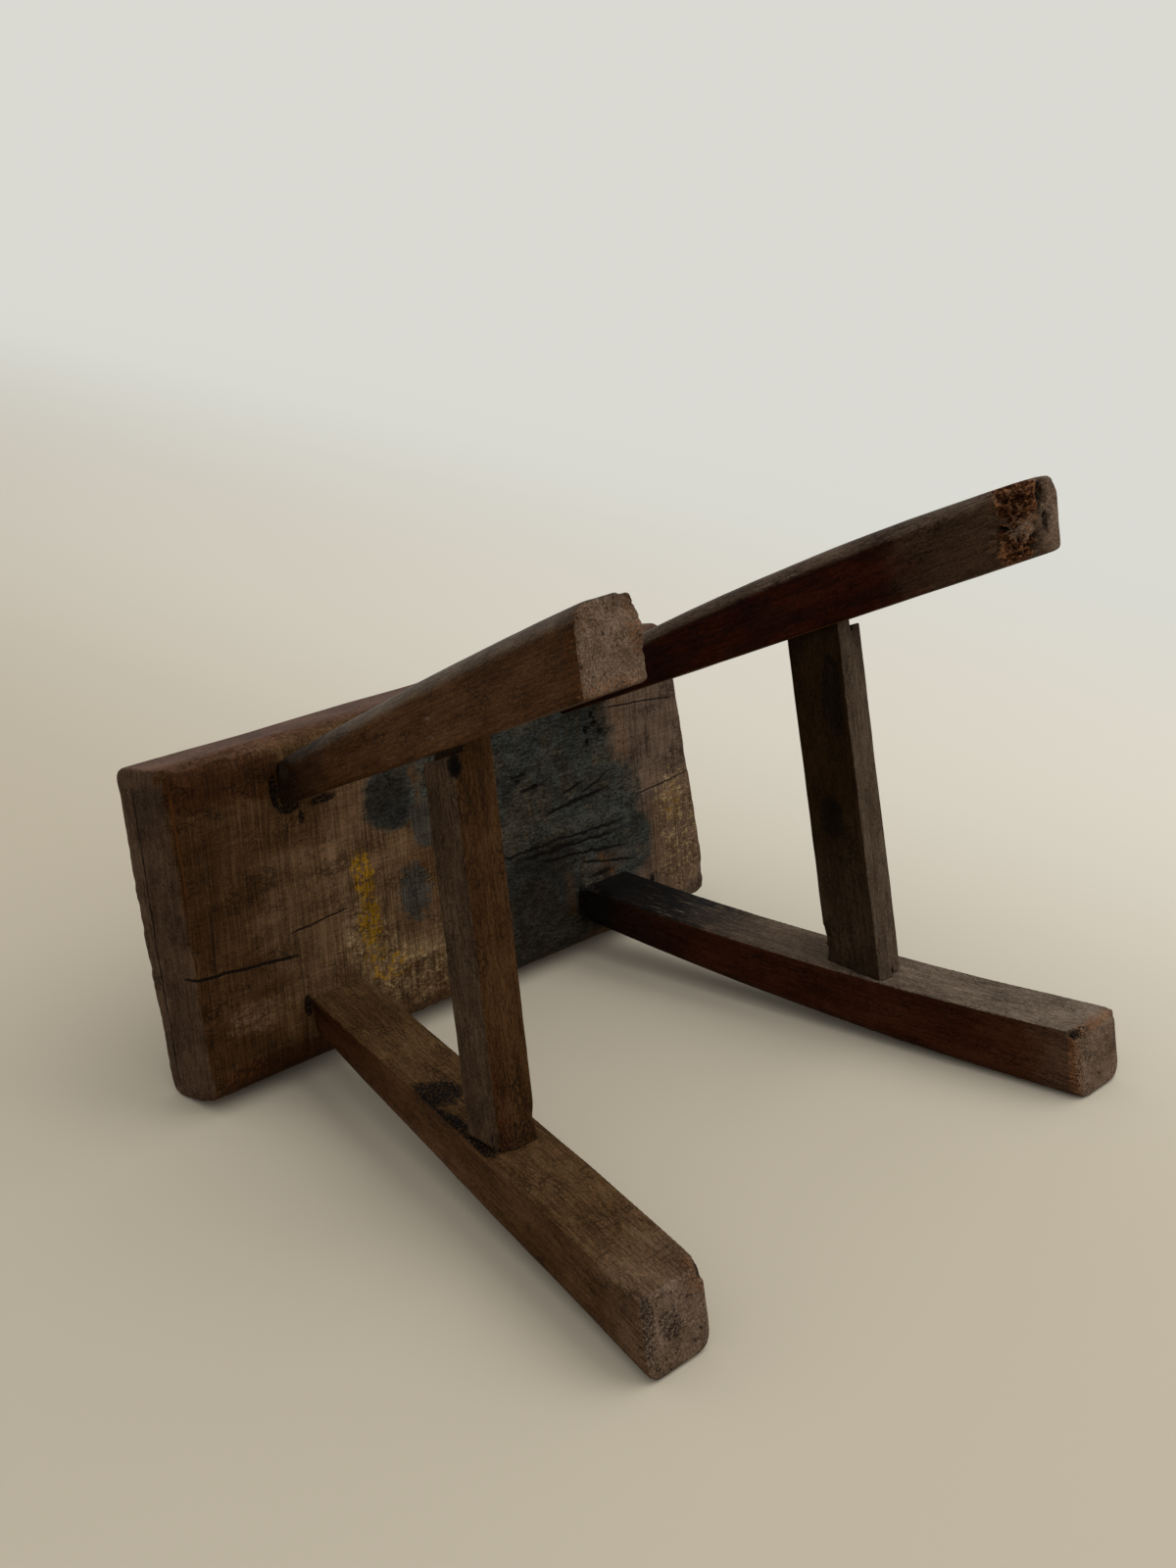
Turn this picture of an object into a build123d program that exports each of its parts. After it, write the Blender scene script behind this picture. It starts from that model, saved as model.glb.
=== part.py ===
from build123d import *
import os

# A low bench stool: one thick plank on four splayed legs, with a stretcher between the legs of each end.
# Lengths are in millimetres. X runs along the seat, Y across it and Z up.
# The origin is on the floor, midway between the feet. Front is -Y and right is +X.

# Seat plank. Its ends aren't square: a skew is how much further out the front corner lies than the middle.
seat_length = 452.0
seat_width = 204.0
seat_thickness = 46.0
seat_under_height = 330.0
seat_skew_left = 5.5
seat_skew_right = -1.5
seat_under_round = 13.0
seat_top_round = 8.0
seat_end_round = 1.5

# How far the outer corner of each leg is set in from the seat's end and edge, and how far its foot splays out
leg_set_in_x = 80.0
leg_set_in_y = 13.5
splay_x_front = 87.5
splay_x_back = 70.5
splay_y = 108.0

# Thickness of a leg along the seat (x) and across it (y), under the seat and on the floor
leg_top_x = 44.5
leg_top_y = 28.0
leg_foot_x_front = 50.5
leg_foot_x_back = 48.5
leg_foot_y = 47.0
leg_outer_round = 11.0
leg_inner_round = 1.5
foot_round = 0.8

# Each leg was hewn by eye. A belly is how far its outer face swells halfway down.
# The inner faces of the front legs are bowed across the seat: the right one's inwards, the left one's outwards.
# The front left leg is also bowed towards the middle along the seat.
belly_front_right = 1.0
belly_front_left = 5.0
belly_back_right = 2.5
belly_back_left = 7.5
bow_across_front_right = -2.2
bow_across_front_left = 4.5
bow_along_front_left = 3.0

# Through tenon on each leg, and the wedge that spreads its end
leg_tenon_x = 36.0
leg_tenon_y = 20.0
leg_tenon_below_top = 0.5
wedge_thickness = 4.0
wedge_point = 1.0
wedge_depth = 26.0

# Stretchers: how far their inner faces lie beyond the outer corners that the legs have under the seat,
# at the front and back ends, how far below the seat they start, and their thickness and depth
stretcher_right_beyond_front = 14.5
stretcher_right_beyond_back = 7.5
stretcher_right_under_seat = 173.5
stretcher_right_x = 29.5
stretcher_right_z = 25.0
stretcher_left_beyond_front = 6.5
stretcher_left_beyond_back = 1.5
stretcher_left_under_seat = 165.0
stretcher_left_x = 23.5
stretcher_left_z = 42.0
stretcher_round = 1.1

# Bare-faced tenons on the stretchers: flush with the inner face, one shoulder outside.
# The saw cut past the shoulders of the left stretcher.
rail_tenon_right_x = 21.0
rail_tenon_left_x = 13.5
rail_tenon_depth = 22.0
shoulder_gap_front = 1.0
shoulder_gap_back = 3.5
overcut_front = 9.0
overcut_back = 4.0
saw_kerf = 1.6

# Fits
joint_clearance = 0.1
cut_overrun = 5.0

seat_top_height = seat_under_height + seat_thickness
leg_top_reach_x = seat_length / 2 - leg_set_in_x
leg_top_reach_y = seat_width / 2 - leg_set_in_y
leg_tenon_top = seat_top_height - leg_tenon_below_top
wedge_foot = leg_tenon_top - wedge_depth

# Each leg: its side in x and y, its foot's splay and thickness along the seat,
# its bows along and across the seat, and its belly
legs = {
    "front_right": (
        1,
        -1,
        splay_x_front,
        leg_foot_x_front,
        0,
        bow_across_front_right,
        belly_front_right,
    ),
    "front_left": (
        -1,
        -1,
        splay_x_front,
        leg_foot_x_front,
        -bow_along_front_left,
        bow_across_front_left,
        belly_front_left,
    ),
    "back_right": (1, 1, splay_x_back, leg_foot_x_back, 0, 0, belly_back_right),
    "back_left": (-1, 1, splay_x_back, leg_foot_x_back, 0, 0, belly_back_left),
}

# Each stretcher: its side in x, the height of its top, how far from the middle of the seat its inner face lies
# at the front and back ends, its thickness, depth and tenon thickness, and whether the saw cut past its shoulders
stretchers = {
    "right": (
        1,
        seat_under_height - stretcher_right_under_seat,
        leg_top_reach_x + stretcher_right_beyond_front,
        leg_top_reach_x + stretcher_right_beyond_back,
        stretcher_right_x,
        stretcher_right_z,
        rail_tenon_right_x,
        False,
    ),
    "left": (
        -1,
        seat_under_height - stretcher_left_under_seat,
        leg_top_reach_x + stretcher_left_beyond_front,
        leg_top_reach_x + stretcher_left_beyond_back,
        stretcher_left_x,
        stretcher_left_z,
        rail_tenon_left_x,
        True,
    ),
}

# Each end of a stretcher: its side in y, how far its shoulder stands off the leg, and how far a saw cut past it
stretcher_ends = {
    "front": (-1, shoulder_gap_front, overcut_front),
    "back": (1, shoulder_gap_back, overcut_back),
}

os.makedirs("parts", exist_ok=True)


def leg_faces(leg, height):
    """A leg's inner and outer distances along the seat, then across it, at a height."""
    splay_x, foot_x, bow_along, bow_across, belly = legs[leg][2:]
    way = (seat_under_height - height) / seat_under_height
    swell = 4 * way * (1 - way)
    outer_x = leg_top_reach_x + splay_x * way + bow_along * swell
    inner_x = outer_x - leg_top_x - (foot_x - leg_top_x) * way
    straight_y = leg_top_reach_y + splay_y * way
    outer_y = straight_y + belly * swell
    inner_y = straight_y - leg_top_y - (leg_foot_y - leg_top_y) * way + bow_across * swell
    return inner_x, outer_x, inner_y, outer_y


def tenon_middle(leg, height):
    """Middle of a leg's tenon at a height, on the line from the middle of its foot to that of its top."""
    side_x, side_y = legs[leg][:2]
    way = (seat_under_height - height) / seat_under_height
    top_and_foot = zip(leg_faces(leg, seat_under_height), leg_faces(leg, 0))
    inner_x, outer_x, inner_y, outer_y = (top + (foot - top) * way for top, foot in top_and_foot)
    return side_x * (inner_x + outer_x) / 2, side_y * (inner_y + outer_y) / 2


def tenon_sections(leg, ends):
    """Sections of a slanted block on a leg's tenon line. Each end is a height, a size in x and one in y."""
    sections = []
    for height, size_x, size_y in ends:
        with BuildSketch(Plane.XY.offset(height)) as section:
            with Locations(tenon_middle(leg, height)):
                Rectangle(size_x, size_y)
        sections.append(section.sketch)
    return sections


def wedge_ends(top, length):
    """Ends of a wedge that lies across the seat, run on above its own end up to a height."""
    taper = (wedge_thickness - wedge_point) / wedge_depth
    return (wedge_foot, wedge_point, length), (top, wedge_point + taper * (top - wedge_foot), length)


def rail_face_x(stretcher, y):
    """Distance of a stretcher's inner face from the middle of the seat, at a place across it."""
    top, front_x, back_x = stretchers[stretcher][1:4]
    at_leg = leg_faces(f"back_{stretcher}", top)[2]
    return (front_x + back_x) / 2 - (front_x - back_x) / 2 * y / at_leg


def rail_sections(stretcher, near, far, ends, low, high):
    """Sections of a block along a stretcher, between two distances from its inner face and two heights.
    Each end is named, with its length past the inner face of the leg there, which it is parallel to."""
    side_x = stretchers[stretcher][0]
    sections = []
    for height in (low, high):
        corners = []
        for end, past in ends:
            side_y = stretcher_ends[end][0]
            y = side_y * (leg_faces(f"{end}_{stretcher}", height)[2] + past)
            pair = [(side_x * (rail_face_x(stretcher, y) + depth), y) for depth in (near, far)]
            corners += pair if not corners else pair[::-1]
        with BuildSketch(Plane.XY.offset(height)) as section:
            with BuildLine():
                Polyline(*corners, close=True)
            make_face()
        sections.append(section.sketch)
    return sections


def make_seat():
    """The plank, with a slanted mortise for each leg."""
    half_length = seat_length / 2
    half_width = seat_width / 2
    with BuildPart() as seat:
        with BuildSketch(Plane.XY.offset(seat_under_height)):
            with BuildLine():
                Polyline(
                    (-half_length - seat_skew_left, -half_width),
                    (half_length + seat_skew_right, -half_width),
                    (half_length - seat_skew_right, half_width),
                    (-half_length + seat_skew_left, half_width),
                    close=True,
                )
            make_face()
        extrude(amount=seat_thickness)
        fillet(seat.edges().filter_by(Axis.X).group_by(Axis.Z)[0], seat_under_round)
        fillet(seat.edges().filter_by(Axis.X).group_by(Axis.Z)[-1], seat_top_round)
        by_length = seat.faces().sort_by(Axis.X)
        fillet(by_length[0].edges() + by_length[-1].edges(), seat_end_round)
        mortise_x = leg_tenon_x + 2 * joint_clearance
        mortise_y = leg_tenon_y + 2 * joint_clearance
        for leg in legs:
            below = (seat_under_height - cut_overrun, mortise_x, mortise_y)
            above = (seat_top_height + cut_overrun, mortise_x, mortise_y)
            loft(tenon_sections(leg, (below, above)), ruled=True, mode=Mode.SUBTRACT)
    return seat


def make_leg(leg):
    """A leg with its through tenon, split for the wedge, and its mortise for the stretcher."""
    end, stretcher = leg.split("_")
    side_x, side_y = legs[leg][:2]
    rail_top = stretchers[stretcher][1]
    rail_z, rail_tenon_x = stretchers[stretcher][5:7]
    with BuildPart() as solid:
        for height in (0, seat_under_height / 2, seat_under_height):
            inner_x, outer_x, inner_y, outer_y = leg_faces(leg, height)
            with BuildSketch(Plane.XY.offset(height)) as section:
                with Locations((side_x * (inner_x + outer_x) / 2, side_y * (inner_y + outer_y) / 2)):
                    Rectangle(outer_x - inner_x, outer_y - inner_y)
                fillet(section.vertices().sort_by(Axis.Y)[::side_y][2:], leg_outer_round)
                fillet(section.vertices().sort_by(Axis.Y)[::side_y][:2], leg_inner_round)
        loft()
        fillet(solid.faces().sort_by(Axis.Z)[0].edges(), foot_round)
        tenon_ends = [(height, leg_tenon_x, leg_tenon_y) for height in (seat_under_height, leg_tenon_top)]
        loft(tenon_sections(leg, tenon_ends), ruled=True)
        split = wedge_ends(leg_tenon_top + cut_overrun, leg_tenon_y + 2 * cut_overrun)
        loft(tenon_sections(leg, split), ruled=True, mode=Mode.SUBTRACT)
        mortise = rail_sections(
            stretcher,
            -joint_clearance,
            rail_tenon_x + joint_clearance,
            ((end, -cut_overrun), (end, rail_tenon_depth + joint_clearance)),
            rail_top - rail_z - joint_clearance,
            rail_top + joint_clearance,
        )
        loft(mortise, ruled=True, mode=Mode.SUBTRACT)
    return solid


def make_wedge(leg):
    """The wedge driven into a leg's tenon, across the seat so that it can't split the plank."""
    with BuildPart() as wedge:
        loft(tenon_sections(leg, wedge_ends(leg_tenon_top, leg_tenon_y)), ruled=True)
    return wedge


def make_stretcher(stretcher):
    """A stretcher with a bare-faced tenon at each end, and any saw cuts behind its shoulders."""
    rail_top = stretchers[stretcher][1]
    rail_x, rail_z, tenon_x, sawn_past = stretchers[stretcher][4:]
    low = rail_top - rail_z
    with BuildPart() as rail:
        shoulders = [(end, -stretcher_ends[end][1]) for end in stretcher_ends]
        loft(rail_sections(stretcher, 0, rail_x, shoulders, low, rail_top), ruled=True)
        tenon_ends = [(end, rail_tenon_depth) for end in stretcher_ends]
        loft(rail_sections(stretcher, 0, tenon_x, tenon_ends, low, rail_top), ruled=True)
        fillet(rail.edges().sort_by(SortBy.LENGTH)[-4:], stretcher_round)
        for end in stretcher_ends if sawn_past else ():
            gap, overcut = stretcher_ends[end][1:]
            kerf_ends = ((end, -gap + cut_overrun), (end, -gap - overcut))
            under = low - cut_overrun
            above = rail_top + cut_overrun
            kerf = rail_sections(stretcher, tenon_x, tenon_x + saw_kerf, kerf_ends, under, above)
            loft(kerf, ruled=True, mode=Mode.SUBTRACT)
    return rail


pieces = {"seat": make_seat()}
for leg in legs:
    pieces[f"leg_{leg}"] = make_leg(leg)
    pieces[f"wedge_{leg}"] = make_wedge(leg)
for stretcher in stretchers:
    pieces[f"stretcher_{stretcher}"] = make_stretcher(stretcher)

for name, piece in pieces.items():
    piece.part.label = name
    export_step(piece.part, f"parts/{name}.step")
    print(name, round(piece.part.volume), piece.part.bounding_box().size)
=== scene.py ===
"""The looks of a worn hardwood bench stool, lying on its long edge for the photograph.

Lengths are in metres in the part's own frame: X along the seat, Y across it, Z up from the floor.
"""

from dataclasses import dataclass

import bmesh
import bpy
from mathutils import Matrix, Vector, noise


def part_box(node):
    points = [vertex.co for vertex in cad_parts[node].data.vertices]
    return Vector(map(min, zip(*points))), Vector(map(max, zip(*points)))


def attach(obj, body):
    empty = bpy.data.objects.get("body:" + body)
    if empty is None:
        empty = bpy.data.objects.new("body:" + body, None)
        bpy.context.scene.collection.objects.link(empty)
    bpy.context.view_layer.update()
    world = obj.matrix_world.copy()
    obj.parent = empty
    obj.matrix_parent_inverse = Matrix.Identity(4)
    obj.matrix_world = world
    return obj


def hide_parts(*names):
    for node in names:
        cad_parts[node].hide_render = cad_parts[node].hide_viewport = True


bl_info = {
    "name": "Worn bench stool",
    "version": (1, 0, 0),
    "blender": (4, 5, 0),
    "location": "View3D > Sidebar > Stool",
    "description": "Dresses the bench stool with worn, stained hardwood",
    "category": "Object",
}

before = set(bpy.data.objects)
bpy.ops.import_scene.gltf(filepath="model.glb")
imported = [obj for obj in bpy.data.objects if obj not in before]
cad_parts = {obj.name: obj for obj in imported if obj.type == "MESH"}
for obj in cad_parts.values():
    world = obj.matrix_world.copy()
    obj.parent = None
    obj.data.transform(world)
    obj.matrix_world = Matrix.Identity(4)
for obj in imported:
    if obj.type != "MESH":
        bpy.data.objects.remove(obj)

MM = 0.001
LEGS = ("front_right", "front_left", "back_right", "back_left")
STRETCHERS = ("right", "left")

SEAT_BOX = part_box("seat")
SEAT_TOP = SEAT_BOX[1].z
WHOLE_LOW = Vector([min(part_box(node)[0][i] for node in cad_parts) for i in range(3)])
WHOLE_HIGH = Vector([max(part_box(node)[1][i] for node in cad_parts) for i in range(3)])


def linear(hex_colour):
    """Linear red, green and blue of an sRGB colour written as hex."""
    parts = [int(hex_colour[i : i + 2], 16) / 255 for i in (1, 3, 5)]
    return tuple(c / 12.92 if c <= 0.04045 else ((c + 0.055) / 1.055) ** 2.4 for c in parts)


# Wear that the photograph shows, in millimetres. Each dent is a middle, a reach in x, y and z, a depth, and
# how black it is inside, from 0 up. A swelling has a depth below 0.
# The black inside a dent is grime and painted shade in its hollow
SEAT_DENTS = (
    ((148, 70, 330), (4, 13, 6), 3.5, 1.2),
    ((139, 81, 330), (5, 5, 5), 2.0, 0.8),
    ((139, 58, 330), (10, 4, 5), 2.5, 1.2),
    ((131, 50, 330), (3, 5, 4), 1.5, 1.0),
    ((112, 57, 330), (14, 4, 5), 1.6, 0.8),
    ((148, -65, 330), (4, 8, 6), 3.5, 1.2),
    ((228, -20, 352), (12, 120, 40), -1.6, 0.0),
    ((-101, -72, 330), (5, 15, 6), 4.5, 1.0),
    ((-122, -56, 330), (20, 3, 4), 1.6, 0.6),
    ((-132, 55, 330), (3, 3, 3), 2.0, 1.0),
    ((-134, 48, 330), (4, 3, 3), 2.0, 1.0),
    ((-125, 46, 330), (3, 4, 3), 2.0, 1.0),
    ((-139, 42, 330), (3, 3, 3), 1.6, 1.0),
    ((-125, 37, 330), (3, 3, 3), 1.6, 1.0),
    ((-53, 26, 330), (4, 2, 3), 1.6, 1.0),
    ((-68, 19, 330), (5, 2, 3), 1.6, 1.0),
    ((-174, -75, 330), (4, 5, 4), 1.6, 0.7),
    ((222, -60, 330), (7, 34, 6), 1.5, 0.0),
    ((224, 92, 332), (8, 14, 10), 2.5, 0.0),
    ((150, 101, 333), (50, 5, 8), 1.6, 0.0),
    ((205, 101, 333), (20, 4, 8), 1.2, 0.0),
    ((-228, -88, 333), (8, 16, 9), 2.5, 0.0),
    ((60, -101, 338), (60, 5, 10), 1.2, 0.0),
)
LEG_DENTS = {
    "front_right": (
        ((184, -152, 0), (6, 7, 12), 2.6, 0.7),
        ((233, -150, 2), (8, 6, 7), 1.2, 0.0),
        ((167, -94, 206), (12, 6, 13), 0.7, 0.0),
        ((179, -103, 180), (4, 6, 26), 1.0, 0.0),
        ((154, -71, 298), (3, 3, 7), 1.2, 0.0),
        ((165, -83, 257), (3, 3, 9), 1.2, 0.0),
        ((177, -94, 208), (3, 3, 8), 1.2, 0.0),
    ),
    "front_left": (
        ((-185, -151, 0), (8, 6, 9), 2.4, 0.7),
        ((-228, -152, 0), (8, 6, 6), 1.2, 0.0),
        ((-104, -64, 320), (9, 7, 14), 2.5, 1.0),
    ),
    "back_right": (
        ((171, 190, 0), (14, 12, 14), 4.0, 0.0),
        ((172, 160, 0), (7, 14, 8), 2.0, 0.0),
        ((214, 178, 0), (6, 7, 6), 1.5, 0.3),
        ((207, 186, 1), (6, 7, 6), 1.5, 0.0),
        ((216, 150, 0), (7, 7, 9), 1.5, 0.2),
        ((186, 131, 145), (3, 2, 6), 1.2, 0.0),
        ((186, 121, 143), (3, 2, 4), 1.2, 0.0),
        ((150, 84, 322), (18, 7, 14), 1.6, 0.2),
    ),
    "back_left": (
        ((-168, 150, 0), (10, 9, 12), 3.0, 0.2),
        ((-168, 192, 0), (12, 12, 18), 3.0, 0.0),
        ((-230, 194, 0), (20, 14, 18), 3.5, 0.0),
        ((-196, 186, 0), (5, 12, 7), 5.0, 0.8),
        ((-200, 170, 0), (5, 8, 7), 4.0, 0.8),
        ((-190, 150, 0), (16, 7, 7), 2.0, 0.0),
    ),
}
STRETCHER_DENTS = {
    "right": (
        ((190, -102, 131), (6, 10, 5), 1.8, 0.3),
        ((184, 102, 131), (6, 7, 5), 1.6, 0.7),
        ((161, -100, 131), (6, 8, 5), 1.5, 0.0),
    ),
    "left": (
        ((-152, -100, 165), (6, 14, 7), 2.5, 0.2),
        ((-150, 60, 123), (4, 30, 5), 1.0, 0.0),
        ((-149, -10, 146), (3, 14, 9), 0.8, 0.4),
    ),
}
WORM_HOLES = ((-174, 174, -1), (22, 32, 20), 9.0)
EDGE_SWELLING = ((-78, 104, 366), (66, 20, 22), 5.0)

UP = (0, 0, 1)
DOWN = (0, 0, -1)
FRONT = (0, -1, 0)
BACK = (0, 1, 0)
RIGHT = (1, 0, 0)
LEFT = (-1, 0, 0)
# The rounded upper arris of the back legs, where a paler grey band is painted as their sheen (painted
# highlight)
UPPER_ROUND_SHEEN = (0.35, 1, 0)

# Ends that wear has rounded more than the rest: a direction, how far along it each lot of smoothing begins,
# in millimetres, and how often it is smoothed
RIGHT_UNDER_ARRIS = (1, 0, -1)
SEAT_ENDS = ((RIGHT_UNDER_ARRIS, -121, 5), (RIGHT_UNDER_ARRIS, -116, 8), (RIGHT_UNDER_ARRIS, -112, 12))
FEET = ((DOWN, -14, 3), (DOWN, -8, 4), (DOWN, -5, 5))
WORM_EATEN_FOOT = ((DOWN, -20, 4), (DOWN, -12, 6), (DOWN, -7, 8))


@dataclass
class Zone:
    """Where a piece weathered its own way, and which of the stool's colours it has there.

    It lies where all that it gives of these hold: the way its faces look, a fade along a direction between
    two places, spots that are each a middle and a reach, flecks that have a width, a length along the grain
    and a noise above which they show, and a net of cracks of a cell size. Ragged says how far the rims of
    spots are broken up, and grit the size of the noise that does it. Lengths are in millimetres.
    """

    colour: str
    faces: tuple = ()
    fade: tuple = ()
    spots: tuple = ()
    ragged: float = 0.6
    grit: float = 10.0
    flecks: tuple = ()
    cracked: float = 0.0
    strength: float = 1.0
    roughness: float = 0.72


def below(x, y, reach_x, reach_y):
    """A spot on the underside of the seat: its middle and its reach, in millimetres."""
    return (x, y, 330), (reach_x, reach_y, 20)


SEAT_ZONES = (
    Zone("end_grain", faces=RIGHT),
    Zone("end_grain", faces=LEFT),
    Zone("grey", faces=RIGHT, fade=(UP, 361, 365), strength=0.25),
    Zone("char", faces=RIGHT, spots=(((226, 82, 345), (12, 13, 14)),), strength=0.35, roughness=0.4),
    Zone("sawn", faces=DOWN),
    Zone("damp", faces=DOWN, fade=(RIGHT, 140, 222), grit=24.0, strength=0.85),
    Zone("damp", faces=DOWN, fade=(RIGHT, 206, 222), strength=0.5),
    Zone("red_stain", faces=DOWN, spots=(below(190, 88, 46, 16), below(160, 84, 20, 14)), grit=14.0,
         strength=0.75),
    Zone("tan", faces=DOWN, spots=(below(84, 20, 34, 84), below(60, -66, 62, 42)), grit=24.0,
         strength=0.4),
    Zone("tan", faces=DOWN, spots=(below(136, -12, 40, 50),), grit=24.0, strength=0.3),
    Zone("grey", faces=DOWN, fade=(LEFT, 135, 150)),
    Zone("tan", faces=DOWN, spots=(below(-158, 32, 8, 62), below(-205, -50, 34, 42)), grit=24.0,
         strength=0.55),
    Zone("lime", faces=DOWN, spots=(below(90, -44, 24, 26), below(60, -66, 34, 22)),
         flecks=(9.0, 12.0, 0.46), strength=0.2),
    Zone("lime", faces=DOWN, spots=(below(92, -40, 20, 24), below(58, -70, 36, 18)),
         flecks=(2.2, 3.0, 0.51), ragged=1.2, strength=0.85),
    Zone("damp", faces=DOWN, spots=(below(66, -80, 50, 22),), flecks=(7.0, 9.0, 0.5), ragged=1.0,
         strength=0.6),
    Zone("lime", faces=DOWN, spots=(below(-206, -44, 22, 44),), flecks=(2.4, 4.0, 0.53)),
    Zone("ochre", faces=DOWN, spots=(below(-203, -26, 9, 15),), flecks=(2.4, 3.0, 0.52), strength=0.5),
    Zone("ochre", faces=DOWN, spots=(below(91, 2, 9, 17), below(90, -28, 10, 15)),
         flecks=(3.4, 3.4, 0.45), grit=6.0, ragged=0.9),
    Zone("ochre", faces=DOWN, spots=(below(76, -62, 22, 8), below(90, -46, 10, 16)),
         flecks=(3.5, 5.0, 0.53), ragged=1.0, strength=0.8),
    Zone("char", spots=(((-101, -74, 330), (6, 18, 12)),), grit=4.0),
    Zone("damp", faces=DOWN, spots=(below(200, -86, 50, 18),), grit=24.0, strength=0.7),
    # A worn, glossier patch, with paler tan speckles painted as its whitish sheen (painted highlight)
    Zone("tan", faces=DOWN, spots=(below(188, -58, 20, 9),), grit=6.0, ragged=1.4, flecks=(2.4, 5.0, 0.44),
         strength=0.5, roughness=0.4),
    Zone("red_stain", faces=DOWN, spots=(below(186, -92, 34, 10), below(150, -94, 24, 8)), grit=10.0,
         ragged=0.9, strength=0.7),
    Zone("orange", faces=DOWN, spots=(below(205, -90, 14, 6),), grit=6.0, ragged=1.2, flecks=(2.0, 4.0, 0.45),
         strength=0.35),
    Zone("orange", faces=FRONT, fade=(UP, 334, 340), strength=0.6),
    Zone("orange", faces=DOWN, spots=(((-99, -72, 330), (9, 22, 8)), ((-128, -56, 330), (26, 6, 8))),
         strength=0.6),
)
TAR_SPOTS = (
    below(60, 44, 24, 22),
    below(-20, 60, 60, 56),
    below(-70, 10, 80, 86),
    below(-118, 34, 34, 46),
    below(-128, -8, 46, 34),
    below(-60, -64, 80, 46),
    below(-152, -42, 27, 26),
)
SMOKED_SPOTS = (
    below(50, -20, 14, 18),
    below(34, 20, 12, 16),
    below(52, 62, 12, 12),
)
LOW_TAR_SPOTS = (
    below(-58, -82, 90, 22),
    below(-60, -50, 40, 30),
    below(62, 42, 20, 18),
)
BARE_SPOTS = (below(-134, -50, 22, 8), below(-90, -62, 5, 18))

# Cracks, folds and lines on the seat, in millimetres: the direction across each, how far off it lies that
# way, its width, how far it wanders, the spot that it lies in, and its colour. The black of a crack is grime
# and painted shade.
SEAT_LINES = (
    ((-0.098, 0.995, 0), -46.5, 2.0, 3, ((195, -28, 330), (48, 12, 14)), "char"),
    ((0.051, 0.999, 0), -9.4, 1.2, 5, ((130, -16, 330), (24, 9, 14)), "char"),
    ((-0.105, 0.995, 0), 71.7, 1.1, 4, ((-181, 53, 330), (40, 10, 14)), "char"),
    ((0.056, 0.998, 0), -20.6, 0.9, 4, ((-196, -10, 330), (30, 9, 14)), "char"),
    ((0, 0.04, 1), 363.5, 1.3, 3, ((226, 0, 363), (9, 98, 12)), "char"),
    ((1, 0, 0.7), 454.6, 1.4, 3, ((224, 56, 331), (8, 32, 8)), "orange"),
)
TAR_FOLDS = (
    ((-0.032, 0.999, 0), -19.8, 2.2, 9, ((-86, -23, 330), (66, 7, 14)), "char"),
    ((-0.053, 0.999, 0), -23.6, 2.6, 9, ((-104, -27, 330), (54, 6, 14)), "char"),
    ((-0.12, 0.993, 0), -24.5, 2.0, 8, ((-112, -36, 330), (56, 9, 14)), "char"),
    ((-0.21, 0.978, 0), -20.5, 1.8, 8, ((-134, -48, 330), (36, 9, 14)), "char"),
    ((0.08, 0.997, 0), -8.6, 2.8, 9, ((-108, -2, 330), (34, 8, 14)), "char"),
    ((0.2, 0.98, 0), -11.2, 2.0, 7, ((-104, 9, 330), (12, 6, 14)), "char"),
    ((0.3, 0.954, 0), -30.0, 1.8, 7, ((-125, 8, 330), (13, 7, 14)), "char"),
    ((0.08, 0.997, 0), 14.0, 2.6, 5, ((-63, 19, 330), (9, 4, 14)), "char"),
    ((0.055, 0.998, 0), 27.0, 2.0, 5, ((-54, 29, 330), (8, 7, 14)), "char"),
)

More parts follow.
